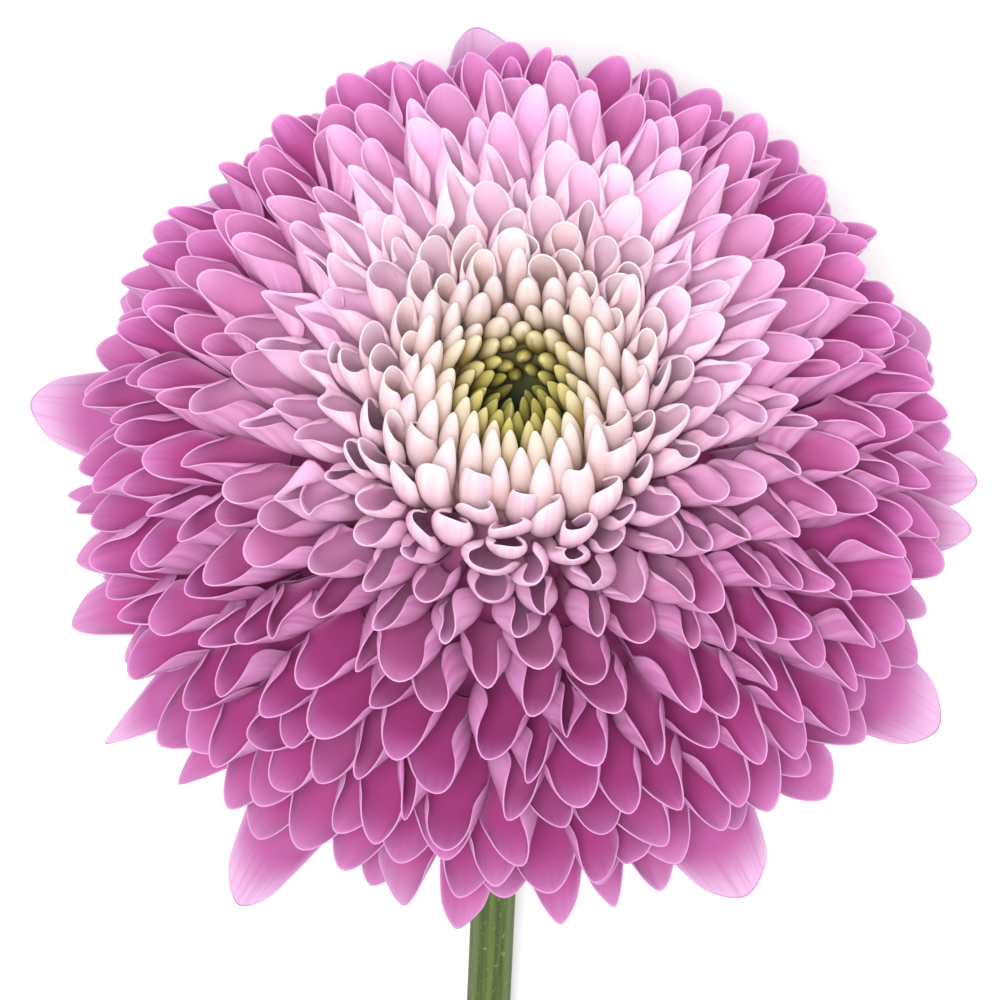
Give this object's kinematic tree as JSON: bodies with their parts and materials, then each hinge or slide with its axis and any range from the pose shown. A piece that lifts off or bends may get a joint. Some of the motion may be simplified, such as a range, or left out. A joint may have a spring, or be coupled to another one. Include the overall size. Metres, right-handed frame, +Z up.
{
  "type": "disbud chrysanthemum",
  "caption": "Cut flower with one large domed bloom of incurved rose-pink florets round a green eye, lying on its side on a bare green stem.",
  "frame": {"origin": "middle of the box round the lying flower, on the surface it lies on", "axes": "+Z up from the surface, +Y along the stem away from the bloom, which faces -Y and up"},
  "size_m": [0.1188, 0.2514, 0.1049],
  "materials": {
    "rose_florets": "soft satin petal",
    "lime_florets": "soft satin petal",
    "calyx_green": "matt leaf",
    "stem_green": "matt leaf"
  },
  "bodies": {
    "root": {"ray_florets": "rose_florets", "eye_florets": "lime_florets", "calyx": "calyx_green", "stem": "stem_green"}
  },
  "joints": []
}
